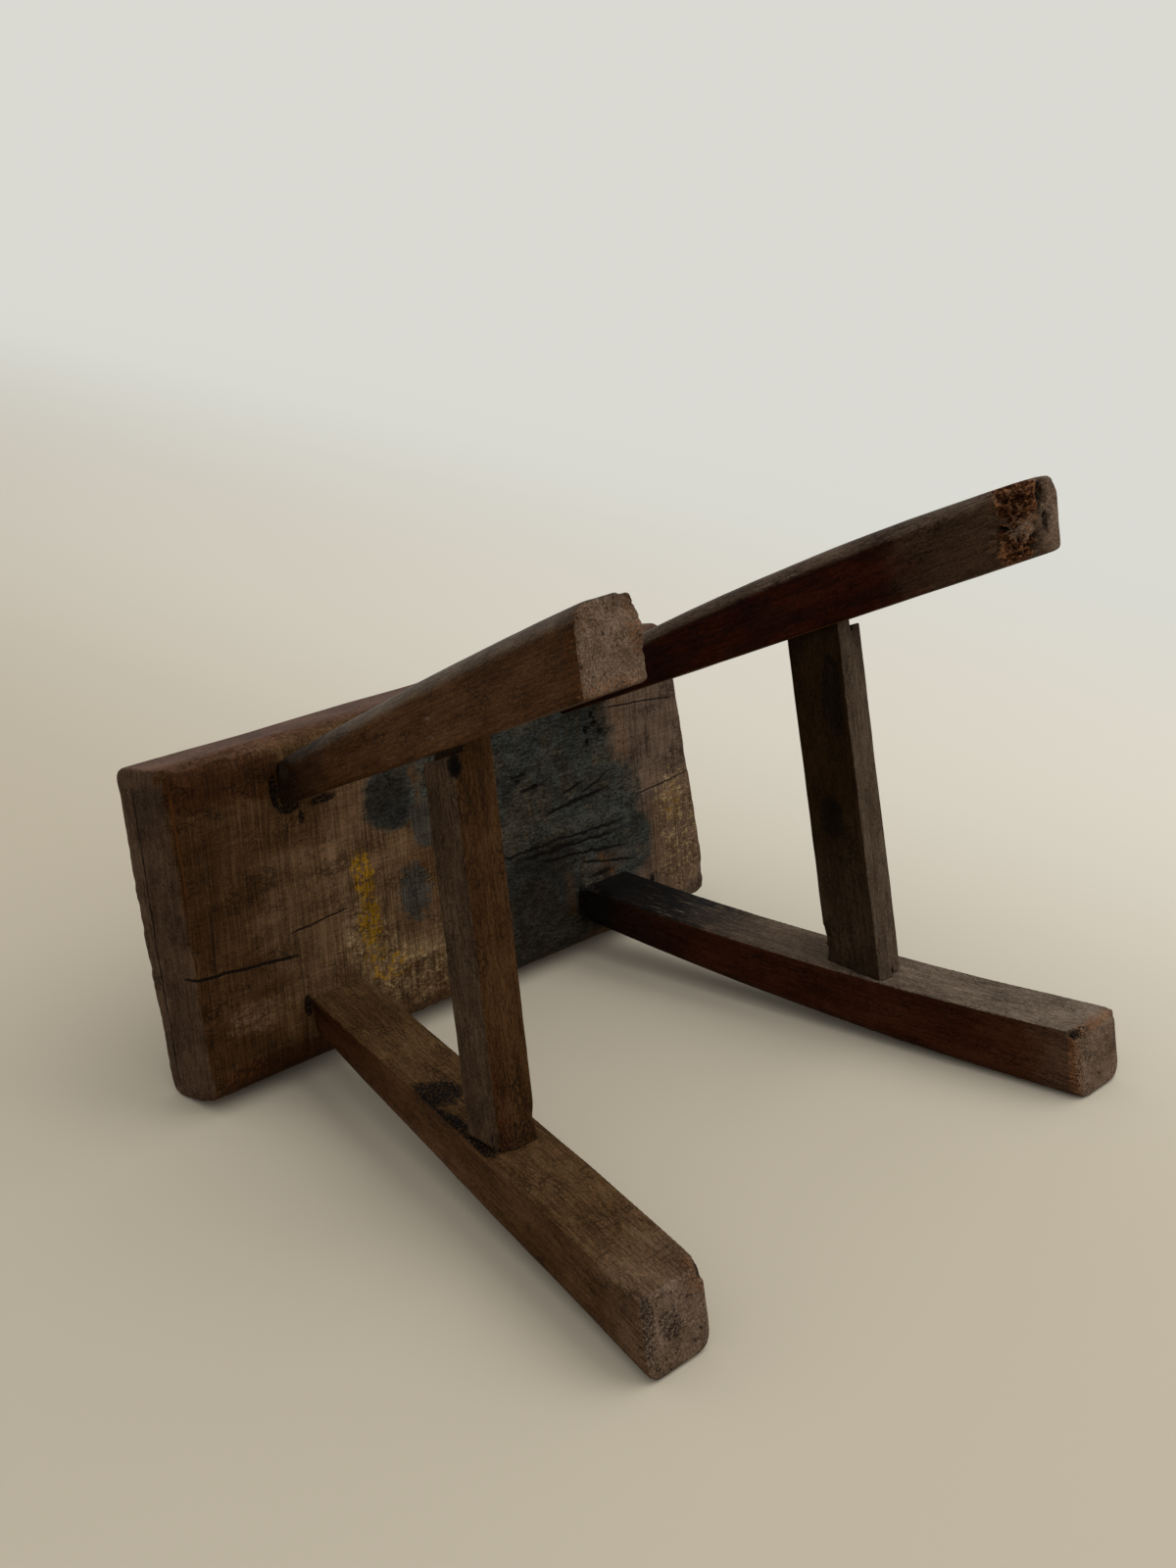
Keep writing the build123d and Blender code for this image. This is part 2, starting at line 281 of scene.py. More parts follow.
SOLE = Zone("sole", faces=DOWN, roughness=0.85)
MOTTLES_ON_SOLE = Zone("rail", faces=DOWN, flecks=(7.0, 7.0, 0.48), strength=0.25, roughness=0.9)
PITS_IN_SOLE = Zone("char", faces=DOWN, flecks=(2.8, 3.2, 0.6), strength=0.75, roughness=0.9)
SOOTY_SPOTS = (((171, -94, 200), (17, 9, 14)), ((185, -101, 176), (6, 9, 18)), ((193, -109, 150), (6, 9, 18)))
EATEN_SPOTS = (((-176, 186, 0), (20, 15, 19)), ((-171, 160, 0), (15, 20, 15)))
LEG_ZONES = {
    "front_right": (
        Zone("leg_red", faces=RIGHT, fade=(UP, 200, 310), grit=24.0, strength=0.5),
        Zone("leg_inner", faces=RIGHT, fade=(DOWN, -250, -120), grit=24.0, strength=0.45),
        Zone("leg_inner", faces=BACK),
        Zone("sole", fade=(DOWN, -60, -5), grit=24.0, strength=0.3),
        SOLE,
        MOTTLES_ON_SOLE,
        Zone("char", faces=DOWN, spots=(((228, -166, 0), (5, 20, 12)), ((212, -170, 0), (9, 9, 9))),
             flecks=(1.6, 1.6, 0.45), ragged=1.1, strength=0.7),
        PITS_IN_SOLE,
        Zone("leg_dark", faces=BACK, spots=SOOTY_SPOTS, ragged=0.9, strength=0.4),
        Zone("char", faces=BACK, spots=SOOTY_SPOTS, cracked=1.6, grit=4.0, ragged=0.9),
        Zone("rot", spots=(((188, -155, 2), (10, 9, 14)),), flecks=(1.4, 4.0, 0.45), strength=0.6),
    ),
    "front_left": (
        Zone("leg_brown", strength=0.15),
        Zone("leg_brown", fade=(DOWN, -90, 0), grit=24.0, strength=0.3),
        Zone("leg_grey", fade=(DOWN, -40, -10), grit=24.0, strength=0.3),
        Zone("leg_grey", faces=BACK),
        Zone("dust", faces=BACK, fade=(DOWN, -180, -60), grit=24.0, strength=0.35),
        Zone("leg_dark", faces=RIGHT, fade=(UP, 235, 290), grit=24.0, strength=0.7),
        Zone("char", faces=BACK, fade=(UP, 205, 275), flecks=(1.6, 14.0, 0.38), roughness=0.55),
        Zone("char", faces=BACK, fade=(UP, 262, 300), grit=10.0, strength=0.8),
        Zone("char", fade=(UP, 296, 318), grit=10.0),
        SOLE,
        MOTTLES_ON_SOLE,
        PITS_IN_SOLE,
        Zone("rot", spots=(((-184, -174, 1), (5, 26, 6)), ((-208, -151, 1), (26, 4, 5))),
             flecks=(1.8, 2.6, 0.44), grit=4.0, ragged=0.9, strength=0.6),
        Zone("char", spots=(((-188, -152, 0), (12, 4, 5)), ((-185, -180, 0), (3, 14, 4))),
             flecks=(1.4, 2.2, 0.5), grit=4.0, ragged=1.0, strength=0.8),
    ),
    "back_right": (
        # Painted highlight: a paler grey band on the upper round arris stands in for its sheen
        Zone("leg_grey", faces=UPPER_ROUND_SHEEN, strength=0.85, roughness=0.38),
        Zone("leg_dark", fade=(UP, 210, 320), grit=24.0, strength=0.8),
        Zone("leg_dark", fade=(DOWN, -26, -8), grit=24.0, strength=0.35),
        SOLE,
        MOTTLES_ON_SOLE,
        PITS_IN_SOLE,
        Zone("orange", spots=(((216, 166, 6), (5, 16, 7)), ((207, 188, 2), (8, 7, 5))),
             flecks=(1.6, 1.6, 0.5), strength=0.6),
        Zone("rot", spots=(((172, 180, 2), (9, 20, 12)), ((190, 150, 1), (28, 7, 9))),
             flecks=(1.6, 3.0, 0.48), grit=6.0, ragged=0.9, strength=0.6),
    ),
    "back_left": (
        Zone("leg_dark", flecks=(8.0, 40.0, 0.48), strength=0.5),
        Zone("leg_dark", fade=(UP, 220, 290), grit=24.0, strength=0.75),
        Zone("leg_brown", faces=FRONT, strength=0.6),
        Zone("rail", fade=(DOWN, -95, -55), grit=14.0, strength=0.75),
        # Painted highlight: a paler grey band on the upper round arris stands in for its sheen
        Zone("leg_grey", faces=UPPER_ROUND_SHEEN, strength=0.75, roughness=0.36),
        SOLE,
        MOTTLES_ON_SOLE,
        PITS_IN_SOLE,
        Zone("rail", spots=(((-174, 170, 0), (26, 40, 24)),), ragged=1.0, strength=0.8),
        Zone("rot", spots=EATEN_SPOTS, flecks=(1.2, 5.0, 0.38), grit=6.0, ragged=1.0),
        Zone("leg_red", spots=EATEN_SPOTS, flecks=(3.0, 4.0, 0.47), grit=6.0, ragged=1.0, strength=0.9),
        Zone("char", spots=EATEN_SPOTS, flecks=(1.7, 2.0, 0.55), grit=6.0, ragged=0.8, strength=0.9),
        Zone("sole", spots=(((-176, 168, 0), (12, 7, 12)),), flecks=(3.0, 3.0, 0.46), grit=6.0),
    ),
}
STRETCHER_ZONES = {
    "right": (
        Zone("rail_brown", faces=DOWN),
        Zone("leg_grey", faces=RIGHT, spots=(((188, -10, 142), (10, 50, 20)),), grit=24.0, strength=0.12),
        Zone("red_stain", faces=DOWN, spots=(((187, -95, 131), (8, 30, 12)),), flecks=(1.5, 3.0, 0.42)),
        Zone("char", spots=(((178, -106, 132), (16, 9, 12)),), flecks=(1.4, 2.4, 0.5), strength=0.8),
        Zone("char", spots=(((184, 104, 131), (6, 7, 6)),), grit=4.0),
    ),
    "left": (
        Zone("leg_grey", faces=DOWN, strength=0.75),
        Zone("leg_grey", fade=(FRONT, -10, 90), grit=24.0, strength=0.2),
        Zone("char", faces=RIGHT, spots=(((-149, -12, 146), (12, 14, 10)), ((-148, 70, 134), (12, 26, 8))),
             grit=24.0, strength=0.6),
    ),
}
WEDGE_ZONES = (Zone("grey", faces=UP),)


def colour_setting(name, description, hex_colour):
    """A colour that can be set, with a default in sRGB written as hex."""
    return bpy.props.FloatVectorProperty(
        name=name, description=description, default=linear(hex_colour), subtype="COLOR"
    )


def length_setting(name, description, length):
    """A length that can be set."""
    return bpy.props.FloatProperty(name=name, description=description, default=length, unit="LENGTH")


class StoolShape(bpy.types.PropertyGroup):
    """How finely the wood is skinned, and how worn it is"""

    seat_cell: length_setting("Seat cell", "Side of the seat's small faces", 1.75 * MM)
    leg_cell: length_setting("Leg cell", "Side of the legs' small faces", 1.15 * MM)
    stretcher_cell: length_setting("Stretcher cell", "Side of the stretchers' small faces", 0.8 * MM)
    hollow: length_setting("Hollowing", "Depth of the shallow hollows that wear leaves", 0.9 * MM)
    rub: bpy.props.FloatProperty(
        name="Rubbing", description="How far the arrises are rubbed down", default=0.35, subtype="FACTOR"
    )


class StoolColours(bpy.types.PropertyGroup):
    """Colours of the wood and of what has stained it"""

    handled: colour_setting("Handled wood", "Top and long edges of the seat", "#4f3424")
    sawn: colour_setting("Sawn wood", "Underside of the seat", "#4d361f")
    damp: colour_setting("Damp wood", "Underside by the right end", "#38230f")
    red_stain: colour_setting("Red stain", "Reddish stain by the mortises", "#331a08")
    tan: colour_setting("Tan wood", "Bleached wood round the stains", "#604a35")
    grey: colour_setting("Dry wood", "Underside by the left end", "#554437")
    end_grain: colour_setting("End grain", "Sawn ends of the seat", "#402f22")
    leg_brown: colour_setting("Leg wood", "Sides of the right legs", "#432a15")
    leg_inner: colour_setting("Sawn leg wood", "Inner face of the front right leg", "#47321b")
    leg_red: colour_setting("Dark red leg wood", "Sides of the left legs", "#280a01")
    leg_dark: colour_setting("Dark leg wood", "Damp ends of the back right leg", "#120803")
    # Weathered grey, also painted as a highlight on the back legs' upper round arris
    leg_grey: colour_setting("Weathered leg wood", "Greyed faces of the legs", "#504235")
    rail: colour_setting("Right stretcher", "Sides of the right stretcher", "#3a2b1e")
    rail_brown: colour_setting("Brown underside", "Underside of the right stretcher", "#3c2610")
    rail_dark: colour_setting("Left stretcher", "Sides of the left stretcher", "#211406")
    sole: colour_setting("Foot ends", "Greyed end grain of the feet", "#625041")
    char: colour_setting("Soot", "Soot and grime", "#0e0b08")
    tar: colour_setting("Tar", "Olive tar on the underside", "#34322a")
    grey_tar: colour_setting("Grey tar", "Grey tar on the underside", "#2e322f")
    orange: colour_setting("Orange stain", "Rusty stain on arrises", "#4c2a0c")
    ochre: colour_setting("Ochre", "Yellow lichen", "#7d5a0a")
    lime: colour_setting("Lime", "Whitish lichen and lime", "#7d6848")
    rot: colour_setting("Rot", "Orange fibres of the rotten feet", "#6a4529")
    dust: colour_setting("Dust", "Grey dust on the worn grain", "#75685a")


class StoolStage(bpy.types.PropertyGroup):
    """Floor and light"""

    # Painted light falloff: the floor is painted darker by the camera and paler under the lights
    floor_near_shaded: colour_setting("Near floor", "Floor by the camera", "#bfb5a1")
    floor_lit: colour_setting("Middle floor", "Floor under the lights", "#d2ccbe")
    floor_far: colour_setting("Far floor", "Floor far behind", "#dadad3")
    sky_light: bpy.props.FloatProperty(
        name="Room light", description="Strength of the even light of the room", default=0.75, min=0.0
    )
    key_power: bpy.props.FloatProperty(
        name="Window power", description="Power of the soft window light", default=26.0, unit="POWER"
    )


def add_node(tree, kind, inputs=None, **settings):
    """Adds a node, with its settings and with a value or a link on each named input."""
    made = tree.nodes.new(kind)
    for setting, value in settings.items():
        setattr(made, setting, value)
    for socket, value in (inputs or {}).items():
        if isinstance(value, bpy.types.NodeSocket):
            tree.links.new(value, made.inputs[socket])
        else:
            made.inputs[socket].default_value = value
    return made


# Levels of a relief, from a crack's floor to the crest of the grain
FLOOR = (0.0, 0.0, 0.0)
GROOVE = (0.1, 0.1, 0.1)
WRINKLE = (0.15, 0.15, 0.15)
TROUGH = (0.35, 0.35, 0.35)
SMOOTH = (0.6, 0.6, 0.6)
CREST = (1.0, 1.0, 1.0)
SATIN = (0.5, 0.5, 0.5)
# Near black of grime and painted shade, in dents, holes, cracks and folds
BLACK_GRIME_AND_SHADE = linear("#0b0705")

# How squarely a face has to look one way for the colour of that side to start, and to show in full
FACING = (0.4, 0.75)

# Sizes in millimetres of the noises that break up rims
COARSE = 14.0
WIDE = 24.0
FINE = 6.0

# Places of a Mix node's colour sockets, which share their names with its number sockets
MIX_FACTOR = 0
MIX_LOW = 6
MIX_HIGH = 7
MIX_RESULT = 2


def paint_over(tree, under, over, *masks):
    """Colour with another painted over it, as far as the product of the masks says."""
    cover = masks[0]
    for mask in masks[1:]:
        cover = add_node(tree, "ShaderNodeMath", {0: cover, 1: mask}, operation="MULTIPLY").outputs["Value"]
    low, high = (c if isinstance(c, bpy.types.NodeSocket) else (*tuple(c)[:3], 1.0) for c in (under, over))
    mix = add_node(
        tree, "ShaderNodeMix", {MIX_FACTOR: cover, MIX_LOW: low, MIX_HIGH: high}, data_type="RGBA"
    )
    return mix.outputs[MIX_RESULT]


def eased(tree, value, low, high):
    """0 where a value is low or less, 1 where it is high or more, and smooth between."""
    ramp = add_node(
        tree,
        "ShaderNodeMapRange",
        {"Value": value, "From Min": low, "From Max": high},
        interpolation_type="SMOOTHSTEP",
    )
    return ramp.outputs["Result"]


# Patterns of streaks: the width and the length of each in millimetres, and the noises where it starts to show
# and where it shows in full
LONG_PORES = (1.1, 34, 0.68, 0.715)
SHORT_PORES = (0.9, 4, 0.64, 0.69)
CRAZED_PARTS = (14, 24, 0.5, 0.64)
NICKS = (2.6, 2.6, 0.47, 0.6)
GRIT = (1.6, 1.6, 0.3, 0.5)
SAW_MARKS = (1.0, 26, 0.56, 0.63)
SAWN_PARTS = (16, 16, 0.42, 0.6)
SEAT_SAW_MARKS = ((1.0, 50, 0.57, 0.63), (1.8, 90, 0.6, 0.66))
SEAT_SAWN_PARTS = (24, 24, 0.42, 0.6)
GREY_TAR_PARTS = (24, 30, 0.42, 0.56)
THIN_TAR_STREAKS = (5, 26, 0.56, 0.66)
TAR_WRINKLES = (2.0, 8.0, 0.55, 0.62)
TAR_PITS = (3.0, 6.0, 0.62, 0.65)


def fibres(tree, place, across, along, low, high):
    """Streaks along X, so many millimetres wide and long: 0 below a noise of low, 1 above high."""
    scale = (1 / (along * MM), 1 / (across * MM), 1 / (across * MM))
    stretched = add_node(tree, "ShaderNodeMapping", {"Vector": place, "Scale": scale})
    streaks = add_node(
        tree,
        "ShaderNodeTexNoise",
        {"Vector": stretched.outputs["Vector"], "Scale": 1.0, "Detail": 4.0, "Roughness": 0.6},
    )
    return eased(tree, streaks.outputs["Fac"], low, high)


def crazing(tree, place, cell, width):
    """1 on a net of cracks that are longer along X, with cells and lines so many millimetres wide."""
    shaken = add_node(tree, "ShaderNodeTexNoise", {"Vector": place, "Scale": 1 / (cell * MM), "Detail": 3.0})
    moved = add_node(
        tree,
        "ShaderNodeVectorMath",
        {0: shaken.outputs["Color"], 1: [0.9 * cell * MM] * 3, 2: place},
        operation="MULTIPLY_ADD",
    )
    scale = (0.5 / (cell * MM), 1 / (cell * MM), 1 / (cell * MM))
    stretched = add_node(tree, "ShaderNodeMapping", {"Vector": moved.outputs["Vector"], "Scale": scale})
    cells = add_node(
        tree,
        "ShaderNodeTexVoronoi",
        {"Vector": stretched.outputs["Vector"], "Scale": 1.0},
        feature="DISTANCE_TO_EDGE",
    )
    return eased(tree, cells.outputs["Distance"], 0.8 * width / cell, 0.25 * width / cell)


def patches(tree, place, spots, ragged, broken):
    """1 inside any of the spots and 0 outside, with rims broken up by a noise."""
    nearest = None
    for middle, reach in spots:
        offset = add_node(
            tree, "ShaderNodeVectorMath", {0: place, 1: [c * MM for c in middle]}, operation="SUBTRACT"
        )
        scaled = add_node(
            tree,
            "ShaderNodeVectorMath",
            {0: offset.outputs["Vector"], 1: [r * MM for r in reach]},
            operation="DIVIDE",
        )
        length = add_node(tree, "ShaderNodeVectorMath", {0: scaled.outputs["Vector"]}, operation="LENGTH")
        distance = length.outputs["Value"]
        if nearest:
            distance = add_node(
                tree, "ShaderNodeMath", {0: nearest, 1: distance}, operation="MINIMUM"
            ).outputs["Value"]
        nearest = distance
    frayed = add_node(
        tree, "ShaderNodeMath", {0: broken, 1: 2 * ragged, 2: nearest}, operation="MULTIPLY_ADD"
    )
    return eased(tree, frayed.outputs["Value"], 1.15 + ragged, 0.8 + ragged)


def faded(tree, vector, direction, start, end):
    """0 to 1 as a place or a normal goes from start to end along a direction."""
    reach = add_node(tree, "ShaderNodeVectorMath", {0: vector, 1: direction}, operation="DOT_PRODUCT")
    return eased(tree, reach.outputs["Value"], start, end)


def crack_line(tree, place, bend, across, offset, width, wander):
    """1 on a thin plane that lies offset along a direction, in millimetres, and bends from it."""
    reach = add_node(tree, "ShaderNodeVectorMath", {0: place, 1: across}, operation="DOT_PRODUCT")
    moved = add_node(
        tree,
        "ShaderNodeMath",
        {0: bend, 1: wander * MM, 2: reach.outputs["Value"]},
        operation="MULTIPLY_ADD",
    )
    gap = add_node(
        tree,
        "ShaderNodeMath",
        {0: moved.outputs["Value"], 1: (offset + wander / 2) * MM},
        operation="SUBTRACT",
    )
    size = add_node(tree, "ShaderNodeMath", {0: gap.outputs["Value"]}, operation="ABSOLUTE")
    return eased(tree, size.outputs["Value"], 0.7 * width * MM, 0.25 * width * MM)


def new_material(name):
    """An empty material, with its tree, its piece's own coordinates and its normals."""
    material = bpy.data.materials.new(name)
    material.use_nodes = True
    tree = material.node_tree
    tree.nodes.clear()
    own = add_node(tree, "ShaderNodeTexCoord")
    return material, tree, own.outputs["Object"], own.outputs["Normal"]


# The figure of the wood: the size of its clouds in millimetres, how much they are drawn out along the grain
# and their share of it, the net of fine cracks, how deep that is beside the pores, and how far the figure
# raises the surface
CLOUD = 22
DRAWN_OUT = 0.45
CLOUD_SHARE = 0.6
CRAZE_CELL = 3.6
CRAZE_LINE = 0.5
CRAZE_DEPTH = 0.75
GRAIN_HEIGHT = 0.9

# How far the figure goes from a middle tone to its darkest and palest, what these are of the tone, how much
# dust lies on the palest, and how black the cracks are
TONE_SPREAD = 0.18
DARKEST = (0.42, 0.37, 0.33)
PALEST = 1.5
DUSTY = 0.35
CRACK_BLACK = 0.12


class Grain:
    """Figure of old wood, made once for a material: clouds and streaks, with pores, cracks and crazing.

    Each lot of streaks is a place to run along, a width, a length and a share of the figure. The first one's
    place is also where the clouds, pores and cracks run along.
    """

    def __init__(self, tree, place, streaks):
        self.tree = tree
        self.place = place
        self.along_x = along_x = streaks[0][0]
        self.noises = {}
        squeezed = add_node(tree, "ShaderNodeMapping", {"Vector": along_x, "Scale": (DRAWN_OUT, 1, 1)})
        clouds = add_node(
            tree,
            "ShaderNodeTexNoise",
            {
                "Vector": squeezed.outputs["Vector"],
                "Scale": 1 / (CLOUD * MM),
                "Detail": 8.0,
                "Roughness": 0.66,
            },
        )
        figure = add_node(
            tree, "ShaderNodeMath", {0: clouds.outputs["Fac"], 1: CLOUD_SHARE}, operation="MULTIPLY"
        ).outputs["Value"]
        self.middle = CLOUD_SHARE / 2
        for line, across, along, share in streaks:
            streak = fibres(tree, line, across, along, 0.4, 0.6)
            figure = add_node(
                tree, "ShaderNodeMath", {0: streak, 1: share, 2: figure}, operation="MULTIPLY_ADD"
            ).outputs["Value"]
            self.middle += share / 2
        self.figure = figure
        holes = add_node(
            tree,
            "ShaderNodeMath",
            {0: fibres(tree, along_x, *LONG_PORES), 1: fibres(tree, along_x, *SHORT_PORES)},
            operation="MAXIMUM",
        ).outputs["Value"]
        crazed = add_node(
            tree,
            "ShaderNodeMath",
            {0: crazing(tree, along_x, CRAZE_CELL, CRAZE_LINE), 1: fibres(tree, along_x, *CRAZED_PARTS)},
            operation="MULTIPLY",
        ).outputs["Value"]
        self.holes = add_node(
            tree,
            "ShaderNodeMath",
            {0: crazed, 1: CRAZE_DEPTH, 2: holes},
            operation="MULTIPLY_ADD",
            use_clamp=True,
        ).outputs["Value"]
        relief = paint_over(tree, TROUGH, CREST, self.figure, GRAIN_HEIGHT)
        self.relief = paint_over(tree, relief, FLOOR, self.holes)

    def noise(self, grit):
        """A noise of a size in millimetres, made once."""
        if grit not in self.noises:
            made = add_node(
                self.tree,
                "ShaderNodeTexNoise",
                {"Vector": self.place, "Scale": 1 / (grit * MM), "Detail": 6.0, "Roughness": 0.7},
            )
            self.noises[grit] = made.outputs["Fac"]
        return self.noises[grit]

    def toned(self, tone, dust, dirt=0.75):
        """Wood of a middle tone: near black in its cracks, redder where dark, and a bit dusty where pale."""
        colours = add_node(self.tree, "ShaderNodeValToRGB", {"Fac": self.figure})
        ramp = colours.color_ramp
        dusting = DUSTY * sum(tone) / sum(dust)
        ramp.elements[0].position = self.middle - TONE_SPREAD
        ramp.elements[0].color = (*(share * t for share, t in zip(DARKEST, tone)), 1.0)
        ramp.elements[1].position = self.middle + TONE_SPREAD
        ramp.elements[1].color = (*(PALEST * t + dusting * d for t, d in zip(tone, dust)), 1.0)
        ramp.elements.new(self.middle).color = (*tone, 1.0)
        black = [CRACK_BLACK * c for c in tone]
        return paint_over(self.tree, colours.outputs["Color"], black, self.holes, dirt)


# How far a noise moves the rim of a fade, as a share of its width, how sharp the rims of flecks are, and the
# width of a crack as a share of its cell
FADE_FRAY = 1.2
FLECK_RIM = 0.06
CRACK_SHARE = 0.4


def zone_masks(grain, normal, zone):
    """Masks whose product is 1 in a zone."""
    tree = grain.tree
    masks = [zone.strength]
    if zone.faces:
        masks.append(faded(tree, normal, zone.faces, *FACING))
    if zone.fade:
        direction, start, end = zone.fade
        reach = add_node(
            tree, "ShaderNodeVectorMath", {0: grain.place, 1: direction}, operation="DOT_PRODUCT"
        ).outputs["Value"]
        fray = FADE_FRAY * (end - start) * MM
        frayed = add_node(
            tree, "ShaderNodeMath", {0: grain.noise(zone.grit), 1: fray, 2: reach}, operation="MULTIPLY_ADD"
        ).outputs["Value"]
        masks.append(eased(tree, frayed, start * MM + fray / 2, end * MM + fray / 2))
    if zone.spots:
        masks.append(patches(tree, grain.place, zone.spots, zone.ragged, grain.noise(zone.grit)))
    if zone.flecks:
        across, along, low = zone.flecks
        masks.append(fibres(tree, grain.along_x, across, along, low, low + FLECK_RIM))
    if zone.cracked:
        masks.append(crazing(tree, grain.along_x, zone.cracked, CRACK_SHARE * zone.cracked))
    return masks


def weathered(grain, normal, colours, base, zones):
    """Colour and roughness of wood of a base colour with its zones painted over it in turn."""
    colour = grain.toned(getattr(colours, base), colours.dust)
    roughness = SATIN
    for zone in zones:
        masks = zone_masks(grain, normal, zone)
        tone = grain.toned(getattr(colours, zone.colour), colours.dust)
        colour = paint_over(grain.tree, colour, tone, *masks)
        roughness = paint_over(grain.tree, roughness, [zone.roughness] * 3, *masks)
    return colour, roughness


# From how much rubbing an arris pales, from how deep a dent blackens, and how black it gets
RUBBED_FROM = 0.35
DUG_FROM_TO = (0.15, 0.55)
DENT_BLACK = 0.92


def worn_grimy_and_shaded(tree, place, colour, colours, arris_amount):
    """Colour with the rubbed arrises paler, and the dents and holes blackened by grime and painted shade."""
    arris = add_node(tree, "ShaderNodeAttribute", attribute_name="arris").outputs["Fac"]
    rubbed = add_node(tree, "ShaderNodeMapRange", {"Value": arris, "From Min": RUBBED_FROM, "From Max": 1.0})
    nicks = fibres(tree, place, *NICKS)
    colour = paint_over(tree, colour, colours.dust, rubbed.outputs["Result"], nicks, arris_amount)
    # Grime and painted shade blacken the dents and holes
    dug = add_node(tree, "ShaderNodeAttribute", attribute_name="dug").outputs["Fac"]
    gritty = fibres(tree, place, *GRIT)
    grime_and_shade = eased(tree, dug, *DUG_FROM_TO)
    return paint_over(tree, colour, BLACK_GRIME_AND_SHADE, grime_and_shade, gritty, DENT_BLACK)


OLD_WOOD_SHEEN = 0.035
RELIEF = 0.5
SEAT_RELIEF = 0.7


def finish_wood(tree, colour, roughness, relief, depth):
    """Wood shader of a colour, with a relief whose full height is a depth in millimetres."""
    bump = add_node(tree, "ShaderNodeBump", {"Strength": 1.0, "Distance": depth * MM, "Height": relief})
    shader = add_node(
        tree,
        "ShaderNodeBsdfPrincipled",
        {
            "Base Color": colour,
            "Roughness": roughness,
            "Normal": bump.outputs["Normal"],
            "Specular IOR Level": OLD_WOOD_SHEEN,
        },
    )
    add_node(tree, "ShaderNodeOutputMaterial", {"Surface": shader.outputs["BSDF"]})


# Streaks along the grain, and across it on the sawn plank: a width and a length in millimetres, and a share.
# The turn that sets the latter across is a little short of a right angle.
STREAKS = ((1.5, 40, 0.09), (0.9, 7, 0.1), (1.1, 1.6, 0.12))
SEAT_STREAKS = ((1.5, 40, 0.05), (1.2, 2.0, 0.09))
SEAT_CROSS_STREAKS = ((1.2, 30, 0.09), (2.6, 70, 0.08))
TAR_STREAKS = ((6, 12, 0.12), (1.4, 2.6, 0.2))
ACROSS_GRAIN = (0, 0, 1.5)


def old_hardwood(name, colours, grain_along, base, zones, saw_amount=0.0):
    """Dense old hardwood, hewn, rubbed by hands and weathered by damp, soot and worms.

    It shows long brown fibres with dark pores, dusty where it is worn and black in its cracks.
    A sawn back has hairlines across the grain.
    """
    material, tree, place, normal = new_material(name)
    turn = grain_along.rotation_difference(Vector(RIGHT)).to_euler()
    along_x = add_node(tree, "ShaderNodeMapping", {"Vector": place, "Rotation": turn}).outputs["Vector"]
    grain = Grain(tree, place, [(along_x, *streak) for streak in STREAKS])
    colour, roughness = weathered(grain, normal, colours, base, zones)
    relief = grain.relief
    if saw_amount:
        saw = fibres(tree, place, *SAW_MARKS)
        patchy = fibres(tree, place, *SAWN_PARTS)
        sawn = faded(tree, normal, BACK, 0.6, 0.85)
        colour = paint_over(tree, colour, colours.char, saw, patchy, sawn, saw_amount)
        relief = paint_over(tree, relief, GROOVE, saw, patchy, sawn)
    colour = worn_grimy_and_shaded(tree, place, colour, colours, 0.4)
    finish_wood(tree, colour, roughness, relief, RELIEF)
    return material


